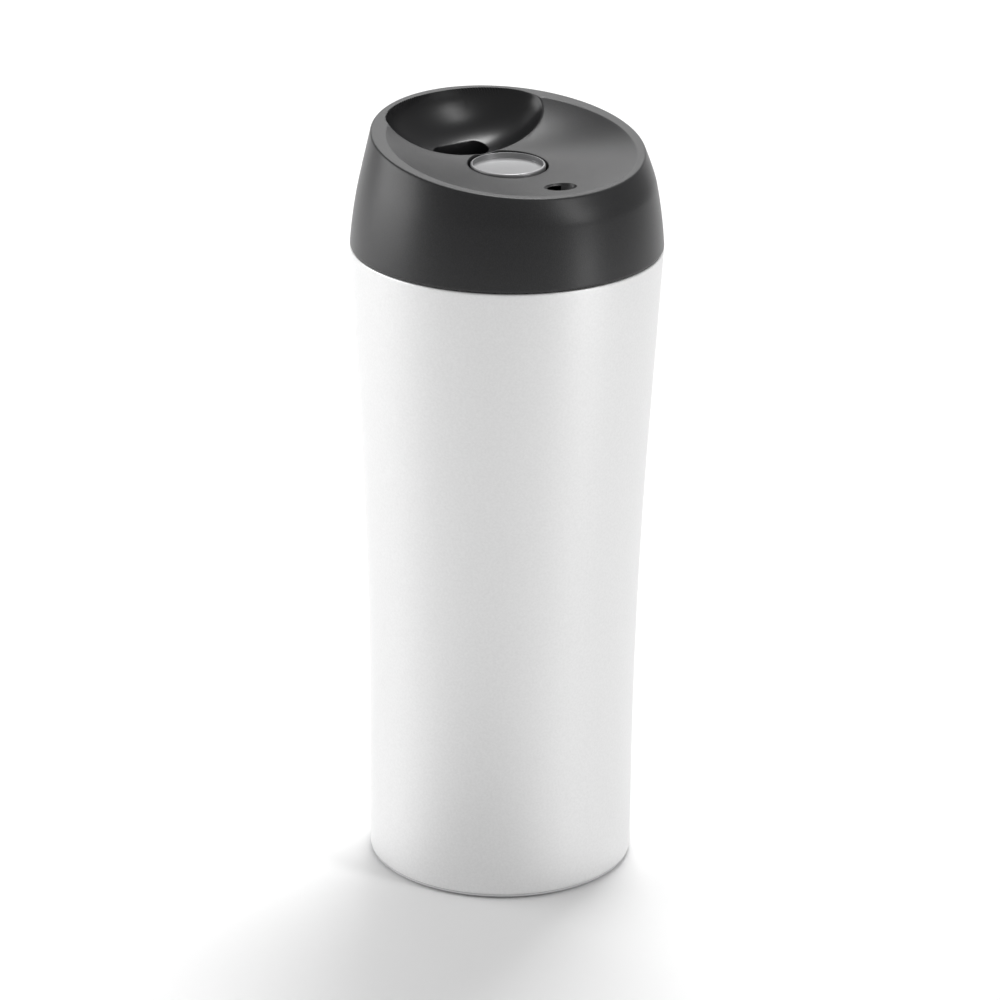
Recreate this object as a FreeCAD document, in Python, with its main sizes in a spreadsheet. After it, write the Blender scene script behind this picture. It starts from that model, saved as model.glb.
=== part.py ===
"""Insulated travel mug: vacuum flask with a screw lid that opens with a push button.

Origin at the centre of the base underside, +Z up, drinking side of the lid towards +X. Millimetres.
"""
import os

import FreeCAD
import Part
import Sketcher

doc = FreeCAD.newDocument("TravelMug")
ORIGIN = FreeCAD.Vector(0, 0, 0)
NO_TURN = FreeCAD.Rotation()

# ---------------------------------------------------------------- driving dimensions
DIMENSIONS = {
    # flask
    "body_height": 168.5,
    "mouth_radius": 40.0,
    "base_radius": 34.6,
    "foot_height": 1.4,
    "straight_height": 28.0,
    "flare_height": 92.0,
    "flare_radius": 1610.0,
    "steel": 0.6,
    "liner_inset": 3.6,
    "liner_floor": 9.0,
    "liner_corner": 8.0,
    "plate_height": 3.6,
    "dimple_radius": 6.0,
    "dimple_depth": 1.8,
    "getter_radius": 5.0,
    "getter_offset": 16.0,
    "getter_height": 2.0,
    "foot_drop": 0.7,
    "foot_inside": 26.0,
    "foot_outside": 32.4,
    "neck_bore": 35.0,
    "neck_depth": 19.5,
    "seam_radius": 36.6,
    # screw thread of the lid
    "thread_lead": 8.0,
    "thread_turn": 0.9,
    "thread_width": 1.7,
    "flask_thread_crest": 33.9,
    "plug_radius": 33.3,
    "plug_thread_crest": 34.6,
    "thread_start": 154.5,
    # lid
    "lid_base": 168.8,
    "lid_waist": 177.5,
    "lid_waist_radius": 39.1,
    "lid_shoulder": 184.6,
    "lid_shoulder_radius": 37.9,
    "rim_height": 195.9,
    "rim_tilt": 8.0,
    "rim_radius": 34.9,
    "rim_land": 3.0,
    "land_shift": 1.6,
    "dish_middle_height": 191.4,
    "dish_middle_tilt": 4.4,
    "dish_middle_radius": 20.0,
    "dish_floor_height": 189.6,
    "dish_floor_tilt": 2.0,
    "dish_floor_radius": 11.0,
    "bowl_offset": 18.9,
    "bowl_height": 200.6,
    "bowl_depth": 13.95,
    "bowl_half_length": 13.6,
    "bowl_half_width": 23.2,
    "slot_near": 18.0,
    "slot_far": 24.9,
    "slot_half_width": 7.6,
    "slot_corner": 3.2,
    "slot_depth": 12.0,
    "vent_offset": 23.5,
    "vent_radius": 4.0,
    "vent_floor": 187.0,
    "vent_passage_end": 16.5,
    "vent_passage_half_width": 2.5,
    "vent_passage_roof": 2.2,
    "skirt_bore": 37.4,
    "ceiling_height": 184.6,
    "inner_skirt_height": 174.1,
    "inner_skirt_bore": 33.6,
    "inner_skirt_outside": 35.5,
    "relief_outside": 37.0,
    "relief_top": 180.0,
    # screw-in plug
    "plug_floor": 151.5,
    "plug_wall": 2.0,
    "plug_top": 173.4,
    "flange_height": 169.7,
    "flange_thickness": 2.0,
    "port_radius": 10.5,
    "seal_wire": 1.2,
    # push button and valve
    "button_top": 189.9,
    "button_radius": 9.6,
    "button_well": 10.2,
    "button_recess": 1.3,
    "button_skirt": 181.2,
    "well_wall": 1.6,
    "well_bottom": 163.0,
    "carrier_height": 2.0,
    "washer_height": 0.5,
    "spring_top": 175.0,
    "spring_radius": 5.7,
    "spring_wire": 0.8,
    "spring_turns": 4.0,
    "stem_seal_radius": 4.4,
    "stem_seal_height": 1.1,
    "latch_radius": 6.2,
    "key_width": 1.8,
    "key_count": 8,
    "button_wall": 1.2,
    "rotor_bottom": 176.0,
    "rotor_top": 180.0,
    "sleeve_top": 182.5,
    "sleeve_outside": 8.2,
    "sleeve_bore": 7.6,
    "stem_radius": 2.5,
    "stem_top": 184.0,
    "disc_radius": 15.0,
    "disc_bottom": 146.9,
    "seal_bottom": 149.0,
    "screw_radius": 1.25,
    "screw_bite": 8.0,
    "screw_head": 1.5,
    "screw_head_radius": 2.8,
    "running_gap": 0.3,
}

sheet = doc.addObject("Spreadsheet::Sheet", "mug")
for row, (alias, number) in enumerate(DIMENSIONS.items(), start=1):
    sheet.set("A%d" % row, alias.replace("_", " "))
    sheet.set("B%d" % row, str(number))
    sheet.setAlias("B%d" % row, alias)
doc.recompute()


# ---------------------------------------------------------------- drawing helpers
def number(holder, text):
    """Value of an expression of sheet cells, such as 'mug.base_radius - 2'."""
    return float(holder.evalExpression(text))


def new_body(label):
    body = doc.addObject("PartDesign::Body", label)
    body.Label = label
    return body


def plane(body, role):
    return next(item for item in body.Origin.OriginFeatures if item.Role == role)


def new_sketch(body, name, role="XZ_Plane", height="0", tilt="0"):
    """Sketch on an origin plane of its body, raised by height and tilted up towards +X."""
    sketch = body.newObject("Sketcher::SketchObject", name)
    sketch.AttachmentSupport = [(plane(body, role), "")]
    sketch.MapMode = "FlatFace"
    sketch.setExpression("AttachmentOffset.Base.z", height)
    if tilt != "0":
        raise_front = FreeCAD.Rotation(FreeCAD.Vector(0, -1, 0), number(sketch, tilt))
        sketch.AttachmentOffset = FreeCAD.Placement(ORIGIN, raise_front)
        sketch.setExpression("AttachmentOffset.Rotation.Angle", tilt)
    return sketch


def fix(sketch, geometry, position, x_text, y_text):
    """Tie a point of the sketch to its coordinates, given as expressions."""
    for axis, kind, text in ((-2, "DistanceX", x_text), (-1, "DistanceY", y_text)):
        if text == "0":
            sketch.addConstraint(Sketcher.Constraint("PointOnObject", geometry, position, axis))
        else:
            entry = Sketcher.Constraint(kind, -1, 1, geometry, position, number(sketch, text))
            index = sketch.addConstraint(entry)
            sketch.setExpression("Constraints[%d]" % index, text)


def outline(sketch, corners):
    """Closed outline. A corner is (x, y) or (x, y, radius); with a radius an arc of that radius runs to
    the next corner, turning left, or right when the radius text starts with a minus sign."""
    points = [FreeCAD.Vector(number(sketch, c[0]), number(sketch, c[1]), 0) for c in corners]
    starts = []
    ends = []
    for i, corner in enumerate(corners):
        first = points[i]
        last = points[(i + 1) % len(points)]
        if len(corner) == 2:
            sketch.addGeometry(Part.LineSegment(first, last), False)
            starts.append(1)
            ends.append(2)
            continue
        turns_right = corner[2].startswith("-")
        radius_text = corner[2].lstrip("-")
        radius = number(sketch, radius_text)
        chord = last - first
        side = FreeCAD.Vector(-chord.y, chord.x, 0).normalize()
        drop = max(radius ** 2 - (chord.Length / 2) ** 2, 0) ** 0.5
        centre = (first + last) * 0.5 + side * (-drop if turns_right else drop)
        from_point, to_point = (last, first) if turns_right else (first, last)
        circle = Part.Circle(centre, FreeCAD.Vector(0, 0, 1), radius)
        arc = Part.ArcOfCircle(circle, circle.parameter(from_point), circle.parameter(to_point))
        index = sketch.addGeometry(arc, False)
        entry = sketch.addConstraint(Sketcher.Constraint("Radius", index, radius))
        sketch.setExpression("Constraints[%d]" % entry, radius_text)
        starts.append(2 if turns_right else 1)
        ends.append(1 if turns_right else 2)
    for i in range(len(corners)):
        after = (i + 1) % len(corners)
        sketch.addConstraint(Sketcher.Constraint("Coincident", i, ends[i], after, starts[after]))
        fix(sketch, i, starts[i], corners[i][0], corners[i][1])
    return sketch


def circle(sketch, radius_text, x_text="0", y_text="0"):
    """Circle tied to the sheet by its centre and radius."""
    centre = FreeCAD.Vector(number(sketch, x_text), number(sketch, y_text), 0)
    radius = number(sketch, radius_text)
    index = sketch.addGeometry(Part.Circle(centre, FreeCAD.Vector(0, 0, 1), radius), False)
    fix(sketch, index, 3, x_text, y_text)
    entry = sketch.addConstraint(Sketcher.Constraint("Radius", index, radius))
    sketch.setExpression("Constraints[%d]" % entry, radius_text)
    return sketch


def box_corners(x_low, x_high, y_low, y_high):
    return [(x_low, y_low), (x_high, y_low), (x_high, y_high), (x_low, y_high)]


def revolve(body, corners, name="Profile", cut=False):
    """Full turn of an outline about the mug's axis, added to the body or cut from it."""
    sketch = outline(new_sketch(body, name), corners)
    kind = "PartDesign::Groove" if cut else "PartDesign::Revolution"
    feature = body.newObject(kind, "Cut" + name if cut else "Turned" + name)
    feature.Profile = sketch
    feature.ReferenceAxis = (sketch, ["V_Axis"])
    feature.Angle = 360
    doc.recompute()
    return feature


def extrude(body, sketch, length_text, name, cut=False):
    """Pad (or pocket) of a sketch along its normal, upwards from the sketch."""
    feature = body.newObject("PartDesign::Pocket" if cut else "PartDesign::Pad", name)
    feature.Profile = sketch
    feature.Length = number(sketch, length_text)
    feature.setExpression("Length", length_text)
    feature.Reversed = cut
    doc.recompute()
    return feature


def around(body, feature, count):
    """Repeat a feature evenly about the mug's axis."""
    pattern = body.newObject("PartDesign::PolarPattern", feature.Name + "Pattern")
    pattern.Originals = [feature]
    pattern.Axis = (plane(body, "Z_Axis"), [""])
    pattern.Angle = 360
    pattern.Occurrences = count
    body.Tip = pattern
    doc.recompute()
    return pattern


def loft(body, sections, name, cut=False):
    feature = body.newObject("PartDesign::SubtractiveLoft" if cut else "PartDesign::AdditiveLoft", name)
    feature.Profile = sections[0]
    feature.Sections = sections[1:]
    doc.recompute()
    return feature


def thread_ridge(body, root_text, crest_text, start):
    """Two-start ridge: a trapezium run along a helix, then repeated half a turn round."""
    sketch = outline(new_sketch(body, "ThreadProfile"), [
        (root_text, start + " - mug.thread_width / 2"),
        (crest_text, start + " - mug.thread_width / 4"),
        (crest_text, start + " + mug.thread_width / 4"),
        (root_text, start + " + mug.thread_width / 2"),
    ])
    ridge = body.newObject("PartDesign::AdditiveHelix", "ThreadRidge")
    ridge.Profile = sketch
    ridge.ReferenceAxis = (sketch, ["V_Axis"])
    ridge.Mode = "pitch-height-angle"
    ridge.setExpression("Pitch", "mug.thread_lead")
    ridge.setExpression("Height", "mug.thread_lead * mug.thread_turn")
    doc.recompute()
    return around(body, ridge, 2)


# ---------------------------------------------------------------- the flask
def flare_foot(inset):
    """Where the flask's side starts to flare, for a wall set in by inset."""
    return "mug.base_radius - %s" % inset, "mug.straight_height"


def flare_head(inset):
    """Where the flare's long arc runs out into the straight upper side."""
    rise = "mug.flare_height ^ 2 / (2 * mug.flare_radius)"
    return "mug.base_radius - %s + %s" % (inset, rise), "mug.straight_height + mug.flare_height"


def outer_shell():
    """Coated steel outside wall with a curled foot and a lip turned in at the mouth."""
    body = new_body("outer_shell")
    revolve(body, [
        ("mug.base_radius - 0.8", "mug.foot_height - 0.2"),
        ("mug.base_radius", "mug.foot_height + 0.6"),
        flare_foot("0") + ("-mug.flare_radius",),
        flare_head("0"),
        ("mug.mouth_radius - 0.05", "mug.body_height - 0.5"),
        ("mug.mouth_radius - 0.5", "mug.body_height"),
        ("mug.seam_radius", "mug.body_height"),
        ("mug.seam_radius", "mug.body_height - mug.steel"),
        ("mug.mouth_radius - mug.steel - 0.1", "mug.body_height - mug.steel"),
        flare_head("mug.steel") + ("mug.flare_radius",),
        flare_foot("mug.steel"),
        ("mug.base_radius - mug.steel", "mug.foot_height + 0.8"),
        ("mug.base_radius - mug.steel - 0.8", "mug.foot_height + 0.3"),
    ])
    return body


def inner_flask():
    """Steel liner that holds the drink, with the lid's thread rolled into its neck."""
    body = new_body("inner_flask")
    neck_foot = "mug.body_height - mug.neck_depth"
    inside = "(mug.liner_inset + mug.steel)"
    revolve(body, [
        ("0", "mug.liner_floor"),
        ("mug.base_radius - mug.liner_inset - mug.liner_corner", "mug.liner_floor", "mug.liner_corner"),
        ("mug.base_radius - mug.liner_inset", "mug.liner_floor + mug.liner_corner"),
        flare_foot("mug.liner_inset") + ("-mug.flare_radius",),
        flare_head("mug.liner_inset"),
        ("mug.neck_bore + mug.steel", neck_foot),
        ("mug.neck_bore + mug.steel", "mug.body_height - mug.steel"),
        ("mug.seam_radius", "mug.body_height - mug.steel"),
        ("mug.seam_radius", "mug.body_height"),
        ("mug.neck_bore", "mug.body_height"),
        ("mug.neck_bore", neck_foot),
        flare_head(inside) + ("mug.flare_radius",),
        flare_foot(inside),
        ("mug.base_radius - mug.liner_inset - mug.steel", "mug.liner_floor + mug.liner_corner",
         "-(mug.liner_corner - mug.steel)"),
        ("mug.base_radius - mug.liner_inset - mug.liner_corner", "mug.liner_floor + mug.steel"),
        ("0", "mug.liner_floor + mug.steel"),
    ])
    thread_ridge(body, "mug.neck_bore + mug.steel / 2", "mug.flask_thread_crest", "mug.thread_start")
    return body


def shell_bottom():
    """Steel plate welded into the outer wall; its dimple holds the vacuum seal."""
    body = new_body("shell_bottom")
    revolve(body, [
        ("mug.dimple_radius", "mug.plate_height"),
        ("mug.base_radius - 2 * mug.steel", "mug.plate_height"),
        ("mug.base_radius - 2 * mug.steel", "mug.plate_height - 1.2"),
        ("mug.base_radius - mug.steel", "mug.plate_height - 1.2"),
        ("mug.base_radius - mug.steel", "mug.plate_height + mug.steel"),
        ("mug.dimple_radius + mug.steel", "mug.plate_height + mug.steel"),
        ("mug.dimple_radius", "mug.plate_height + mug.dimple_depth + mug.steel"),
        ("0.8", "mug.plate_height + mug.dimple_depth + mug.steel"),
        ("0.8", "mug.plate_height + mug.dimple_depth"),
        ("mug.dimple_radius - mug.steel", "mug.plate_height + mug.dimple_depth"),
    ])
    return body


def vacuum_seal():
    """Brazed bead that closes the evacuation hole in the dimple."""
    body = new_body("vacuum_seal")
    revolve(body, [
        ("0", "mug.plate_height + mug.dimple_depth - 1"),
        ("2", "mug.plate_height + mug.dimple_depth - 0.4"),
        ("2.2", "mug.plate_height + mug.dimple_depth"),
        ("0", "mug.plate_height + mug.dimple_depth"),
    ])
    return body


def getter():
    """Pellet on the plate, inside the vacuum, that soaks up stray gas."""
    body = new_body("getter_pellet")
    sketch = new_sketch(body, "Pellet", "XY_Plane", "mug.plate_height + mug.steel")
    circle(sketch, "mug.getter_radius", "mug.getter_offset")
    extrude(body, sketch, "mug.getter_height", "PelletPad")
    return body


def base_cap():
    """Plastic cover under the flask, with a rounded edge and a groove for the foot ring."""
    body = new_body("base_cap")
    revolve(body, [
        ("0", "mug.foot_drop"),
        ("mug.foot_inside", "mug.foot_drop"),
        ("mug.foot_inside", "mug.foot_drop + 0.7"),
        ("mug.foot_outside", "mug.foot_drop + 0.7"),
        ("mug.foot_outside", "mug.foot_drop"),
        ("mug.base_radius - 0.8", "mug.foot_drop", "0.6"),
        ("mug.base_radius - 0.2", "mug.foot_drop + 0.6"),
        ("mug.base_radius - 0.6", "mug.foot_height - 0.2"),
        ("mug.base_radius - 1.6", "mug.foot_height - 0.2"),
        ("mug.base_radius - 1.6", "mug.plate_height - 1"),
        ("0", "mug.plate_height - 1"),
    ])
    return body


def foot_ring():
    """Soft non-slip ring that the mug stands on."""
    body = new_body("foot_ring")
    revolve(body, [
        ("mug.foot_inside + 0.4", "0"),
        ("mug.foot_outside - 0.4", "0"),
        ("mug.foot_outside", "0.3"),
        ("mug.foot_outside", "mug.foot_drop + 0.7"),
        ("mug.foot_inside", "mug.foot_drop + 0.7"),
        ("mug.foot_inside", "0.3"),
    ])
    return body


# ---------------------------------------------------------------- the lid
def lid_shell():
    """Lid moulding: flared side, slanted rim, dished top, drinking bowl with its slot, and vent."""
    body = new_body("lid_shell")
    rim_plane = ("XY_Plane", "mug.rim_height", "mug.rim_tilt")
    side = [
        circle(new_sketch(body, "LidFoot", "XY_Plane", "mug.lid_base"), "mug.mouth_radius"),
        circle(new_sketch(body, "LidWaist", "XY_Plane", "mug.lid_waist"), "mug.lid_waist_radius"),
        circle(new_sketch(body, "LidShoulder", "XY_Plane", "mug.lid_shoulder"), "mug.lid_shoulder_radius"),
        circle(new_sketch(body, "Rim", *rim_plane), "mug.rim_radius"),
    ]
    loft(body, side, "Side")
    dish = [
        circle(new_sketch(body, "LandEdge", *rim_plane), "mug.rim_radius - mug.rim_land", "-mug.land_shift"),
        circle(new_sketch(body, "DishMiddle", "XY_Plane", "mug.dish_middle_height", "mug.dish_middle_tilt"),
               "mug.dish_middle_radius"),
        circle(new_sketch(body, "DishFloor", "XY_Plane", "mug.dish_floor_height", "mug.dish_floor_tilt"),
               "mug.dish_floor_radius"),
    ]
    loft(body, dish, "Dish", cut=True)

    bowl = body.newObject("PartDesign::SubtractiveEllipsoid", "Bowl")
    bowl.AttachmentSupport = [(plane(body, "XY_Plane"), "")]
    bowl.MapMode = "FlatFace"
    for entry, text in {"AttachmentOffset.Base.x": "mug.bowl_offset",
                        "AttachmentOffset.Base.z": "mug.bowl_height",
                        "Radius1": "mug.bowl_depth",
                        "Radius2": "mug.bowl_half_length",
                        "Radius3": "mug.bowl_half_width"}.items():
        bowl.setExpression(entry, text)
    doc.recompute()

    revolve(body, [
        ("0", "mug.lid_base - 1"),
        ("mug.skirt_bore", "mug.lid_base - 1"),
        ("mug.skirt_bore", "mug.inner_skirt_height"),
        ("mug.relief_outside", "mug.inner_skirt_height"),
        ("mug.relief_outside - 0.6", "mug.relief_top"),
        ("mug.inner_skirt_outside", "mug.relief_top"),
        ("mug.inner_skirt_outside", "mug.inner_skirt_height"),
        ("mug.inner_skirt_bore", "mug.inner_skirt_height"),
        ("mug.inner_skirt_bore", "mug.ceiling_height - 2"),
        ("mug.inner_skirt_bore - 2", "mug.ceiling_height"),
        ("0", "mug.ceiling_height"),
    ], "Chamber", cut=True)

    well = new_sketch(body, "WellWall", "XY_Plane", "mug.well_bottom")
    circle(well, "mug.button_well + mug.well_wall")
    extrude(body, well, "mug.ceiling_height - mug.well_bottom + 1", "WellTube")
    bore = new_sketch(body, "WellBore", "XY_Plane", "mug.well_bottom - 1")
    circle(bore, "mug.button_well")
    extrude(body, bore, "mug.rim_height - mug.well_bottom", "ButtonWell", cut=True)

    slot = new_sketch(body, "SlotOutline", "XY_Plane", "mug.ceiling_height - 1")
    outline(slot, [
        ("mug.slot_near", "-mug.slot_half_width + mug.slot_corner"),
        ("mug.slot_near", "mug.slot_half_width - mug.slot_corner", "-mug.slot_corner"),
        ("mug.slot_near + mug.slot_corner", "mug.slot_half_width"),
        ("mug.slot_far - mug.slot_corner", "mug.slot_half_width", "-mug.slot_corner"),
        ("mug.slot_far", "mug.slot_half_width - mug.slot_corner"),
        ("mug.slot_far", "-mug.slot_half_width + mug.slot_corner", "-mug.slot_corner"),
        ("mug.slot_far - mug.slot_corner", "-mug.slot_half_width"),
        ("mug.slot_near + mug.slot_corner", "-mug.slot_half_width", "-mug.slot_corner"),
    ])
    extrude(body, slot, "mug.slot_depth", "DrinkingSlot", cut=True)

    vent = new_sketch(body, "VentOutline", "XY_Plane", "mug.vent_floor")
    circle(vent, "mug.vent_radius", "-mug.vent_offset")
    extrude(body, vent, "mug.slot_depth", "VentRecess", cut=True)
    passage = new_sketch(body, "VentPassageOutline", "XY_Plane", "mug.ceiling_height - 1")
    outline(passage, [
        ("-mug.vent_offset + 1.2", "-mug.vent_passage_half_width"),
        ("-mug.vent_passage_end", "-mug.vent_passage_half_width"),
        ("-mug.vent_passage_end", "mug.vent_passage_half_width"),
        ("-mug.vent_offset + 1.2", "mug.vent_passage_half_width"),
    ])
    extrude(body, passage, "mug.vent_floor + mug.vent_passage_roof - mug.ceiling_height + 1",
            "VentPassage", cut=True)
    return body


def lid_plug():
    """Screw-in half of the lid: threaded cup with a flange above and the valve's port in its floor."""
    body = new_body("lid_plug")
    inside = "mug.plug_radius - mug.plug_wall"
    revolve(body, [
        ("mug.port_radius", "mug.plug_floor"),
        ("mug.plug_radius - 1.5", "mug.plug_floor", "1.5"),
        ("mug.plug_radius", "mug.plug_floor + 1.5"),
        ("mug.plug_radius", "mug.flange_height"),
        ("mug.skirt_bore", "mug.flange_height"),
        ("mug.skirt_bore", "mug.flange_height + mug.flange_thickness"),
        ("mug.plug_radius", "mug.flange_height + mug.flange_thickness"),
        ("mug.plug_radius", "mug.plug_top"),
        (inside, "mug.plug_top"),
        (inside, "mug.plug_floor + mug.plug_wall + 2", "-2"),
        ("mug.plug_radius - mug.plug_wall - 2", "mug.plug_floor + mug.plug_wall"),
        ("mug.port_radius", "mug.plug_floor + mug.plug_wall"),
    ])
    between = "mug.thread_start + mug.thread_lead / 4"
    thread_ridge(body, "mug.plug_radius - 0.6", "mug.plug_thread_crest", between)
    return body


def soft_ring(label, inside, outside, bottom, top):
    """Flat silicone ring with a small bevel on its outer edges."""
    body = new_body(label)
    revolve(body, [
        (inside, bottom),
        ("%s - 0.2" % outside, bottom),
        (outside, "%s + 0.2" % bottom),
        (outside, "%s - 0.2" % top),
        ("%s - 0.2" % outside, top),
        (inside, top),
    ])
    return body


def chamber_seal():
    """O-ring that seals the lid's two mouldings to each other."""
    body = new_body("chamber_seal")
    sketch = new_sketch(body, "SealSection")
    height = "mug.flange_height + mug.flange_thickness + mug.seal_wire"
    circle(sketch, "mug.seal_wire", "mug.plug_radius + mug.seal_wire + 0.1", height)
    ring = body.newObject("PartDesign::Revolution", "SealRing")
    ring.Profile = sketch
    ring.ReferenceAxis = (sketch, ["V_Axis"])
    ring.Angle = 360
    doc.recompute()
    return body


def seal_carrier():
    """Disc that closes the bottom of the button well and holds the stem's seal."""
    body = new_body("seal_carrier")
    top = "mug.well_bottom + mug.carrier_height"
    revolve(body, [
        ("mug.stem_radius + mug.running_gap", "mug.well_bottom"),
        ("mug.button_well", "mug.well_bottom"),
        ("mug.button_well", top),
        ("mug.stem_seal_radius", top),
        ("mug.stem_seal_radius", top + " - mug.stem_seal_height"),
        ("mug.stem_radius + mug.running_gap", top + " - mug.stem_seal_height"),
    ])
    return body


def spring_washer():
    """Steel washer that keeps the stem's seal in place and seats the spring."""
    body = new_body("spring_washer")
    bottom = "mug.well_bottom + mug.carrier_height"
    top = bottom + " + mug.washer_height"
    inside = "mug.stem_radius + 0.4"
    outside = "mug.sleeve_bore - 0.3"
    revolve(body, [(inside, bottom), (outside, bottom), (outside, top), (inside, top)])
    return body


def return_spring():
    """Coil that lifts the button and pulls the valve shut."""
    body = new_body("return_spring")
    sketch = new_sketch(body, "Wire")
    seat = "mug.well_bottom + mug.carrier_height + mug.washer_height"
    circle(sketch, "mug.spring_wire / 2", "mug.spring_radius", seat + " + mug.spring_wire / 2")
    coil = body.newObject("PartDesign::AdditiveHelix", "Coil")
    coil.Profile = sketch
    coil.ReferenceAxis = (sketch, ["V_Axis"])
    coil.Mode = "height-turns-angle"
    coil.setExpression("Height", "mug.spring_top - (%s) - mug.spring_wire" % seat)
    coil.setExpression("Turns", "mug.spring_turns")
    doc.recompute()
    return body


def toothed_ring(body, name, bottom, top, inside, outside, width, count, first_angle="0"):
    """Evenly spaced blocks on a ring, such as ribs, keys or lugs."""
    sketch = new_sketch(body, name + "Outline", "XY_Plane", bottom)
    outline(sketch, box_corners(inside, outside, "-(%s) / 2" % width, "(%s) / 2" % width))
    if first_angle != "0":
        turn = FreeCAD.Rotation(FreeCAD.Vector(0, 0, 1), number(sketch, first_angle))
        sketch.AttachmentOffset = FreeCAD.Placement(sketch.AttachmentOffset.Base, turn)
        sketch.setExpression("AttachmentOffset.Rotation.Angle", first_angle)
    block = extrude(body, sketch, "(%s) - (%s)" % (top, bottom), name)
    around(body, block, count)


def guide_sleeve():
    """Fixed sleeve round the spring; the ribs at its top guide the plunger's keys."""
    body = new_body("guide_sleeve")
    bottom = "mug.well_bottom + mug.carrier_height"
    revolve(body, [
        ("mug.sleeve_bore", bottom),
        ("mug.button_well", bottom),
        ("mug.button_well", bottom + " + 1.5"),
        ("mug.sleeve_outside", bottom + " + 1.5"),
        ("mug.sleeve_outside", "mug.sleeve_top"),
        ("mug.sleeve_bore", "mug.sleeve_top"),
    ])
    toothed_ring(body, "Rib", "mug.rotor_top + mug.running_gap", "mug.sleeve_top",
                 "mug.latch_radius + mug.running_gap", "mug.sleeve_bore + 0.2",
                 "mug.key_width", 8, "180 / mug.key_count")
    return body


def latch_rotor():
    """Latch ring on the stem; each push turns it by one step so that its lugs hold or free the button."""
    body = new_body("latch_rotor")
    inside = "mug.stem_radius + mug.running_gap"
    revolve(body, [
        (inside, "mug.rotor_bottom"),
        ("mug.latch_radius", "mug.rotor_bottom"),
        ("mug.latch_radius", "mug.rotor_top"),
        (inside, "mug.rotor_top"),
    ])
    toothed_ring(body, "Lug", "mug.rotor_bottom", "mug.rotor_top", "mug.latch_radius - 0.5",
                 "mug.sleeve_bore - mug.running_gap", "mug.key_width", 4)
    return body


def button_plunger():
    """Keyed core under the button cap that pushes the latch ring and holds the stem's head."""
    body = new_body("button_plunger")
    top = "mug.button_top - mug.button_recess - mug.button_wall"
    revolve(body, [
        ("mug.stem_radius", "mug.rotor_top"),
        ("mug.latch_radius", "mug.rotor_top"),
        ("mug.latch_radius", top),
        ("0", top),
        ("0", "mug.stem_top"),
        ("mug.stem_radius", "mug.stem_top"),
    ])
    toothed_ring(body, "Key", "mug.rotor_top", top + " - 1", "mug.latch_radius - 0.5",
                 "mug.sleeve_bore - mug.running_gap", "mug.key_width", 8)
    return body


def button_cap():
    """Silver push button: a shallow thumb recess with a narrow raised edge."""
    body = new_body("button_cap")
    floor = "mug.button_top - mug.button_recess"
    revolve(body, [
        ("0", floor + " - mug.button_wall"),
        ("mug.button_radius - 1", floor + " - mug.button_wall"),
        ("mug.button_radius - 1", "mug.button_skirt"),
        ("mug.button_radius", "mug.button_skirt"),
        ("mug.button_radius", "mug.button_top - 0.35", "0.35"),
        ("mug.button_radius - 0.35", "mug.button_top"),
        ("mug.button_radius - 0.55", "mug.button_top"),
        ("mug.button_radius - 0.75", floor + " + 0.3", "-0.3"),
        ("mug.button_radius - 1.05", floor),
        ("0", floor),
    ])
    return body


def valve_stem():
    """Rod from the button to the valve disc, with a collar for the spring and a bore for the screw."""
    body = new_body("valve_stem")
    collar = "mug.latch_radius + 0.4"
    revolve(body, [
        ("mug.screw_radius", "mug.seal_bottom"),
        ("mug.stem_radius", "mug.seal_bottom"),
        ("mug.stem_radius", "mug.spring_top"),
        (collar, "mug.spring_top"),
        (collar, "mug.rotor_bottom"),
        ("mug.stem_radius", "mug.rotor_bottom"),
        ("mug.stem_radius", "mug.stem_top"),
        ("0", "mug.stem_top"),
        ("0", "mug.seal_bottom + mug.screw_bite"),
        ("mug.screw_radius", "mug.seal_bottom + mug.screw_bite"),
    ])
    return body


def valve_disc():
    """Plate that closes the port from below, with a socket for the stem and a lip for its seal."""
    body = new_body("valve_disc")
    revolve(body, [
        ("mug.screw_radius + 0.2", "mug.disc_bottom"),
        ("mug.disc_radius - 0.6", "mug.disc_bottom", "0.6"),
        ("mug.disc_radius", "mug.disc_bottom + 0.6"),
        ("mug.disc_radius", "mug.seal_bottom"),
        ("mug.port_radius + 0.6", "mug.seal_bottom"),
        ("mug.port_radius + 0.6", "mug.plug_floor - 0.3"),
        ("mug.port_radius - 0.5", "mug.plug_floor - 0.3"),
        ("mug.port_radius - 0.5", "mug.seal_bottom"),
        ("mug.stem_radius + 1.7", "mug.seal_bottom"),
        ("mug.stem_radius + 1.7", "mug.seal_bottom + 3"),
        ("mug.stem_radius", "mug.seal_bottom + 3"),
        ("mug.stem_radius", "mug.seal_bottom"),
        ("mug.screw_radius + 0.2", "mug.seal_bottom"),
    ])
    return body


def valve_screw():
    """Pan-head screw that clamps the valve disc to the stem."""
    body = new_body("valve_screw")
    revolve(body, [
        ("0", "mug.disc_bottom - mug.screw_head"),
        ("mug.screw_head_radius - 0.6", "mug.disc_bottom - mug.screw_head", "0.6"),
        ("mug.screw_head_radius", "mug.disc_bottom - mug.screw_head + 0.6"),
        ("mug.screw_head_radius", "mug.disc_bottom"),
        ("mug.screw_radius", "mug.disc_bottom"),
        ("mug.screw_radius", "mug.seal_bottom + mug.screw_bite - 1"),
        ("0", "mug.seal_bottom + mug.screw_bite - 0.4"),
    ])
    cross = new_sketch(body, "DriveOutline", "XY_Plane", "mug.disc_bottom - mug.screw_head")
    outline(cross, box_corners("-1.5", "1.5", "-0.3", "0.3"))
    recess = extrude(body, cross, "0.8", "Drive", cut=True)
    around(body, recess, 4)
    return body


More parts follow.
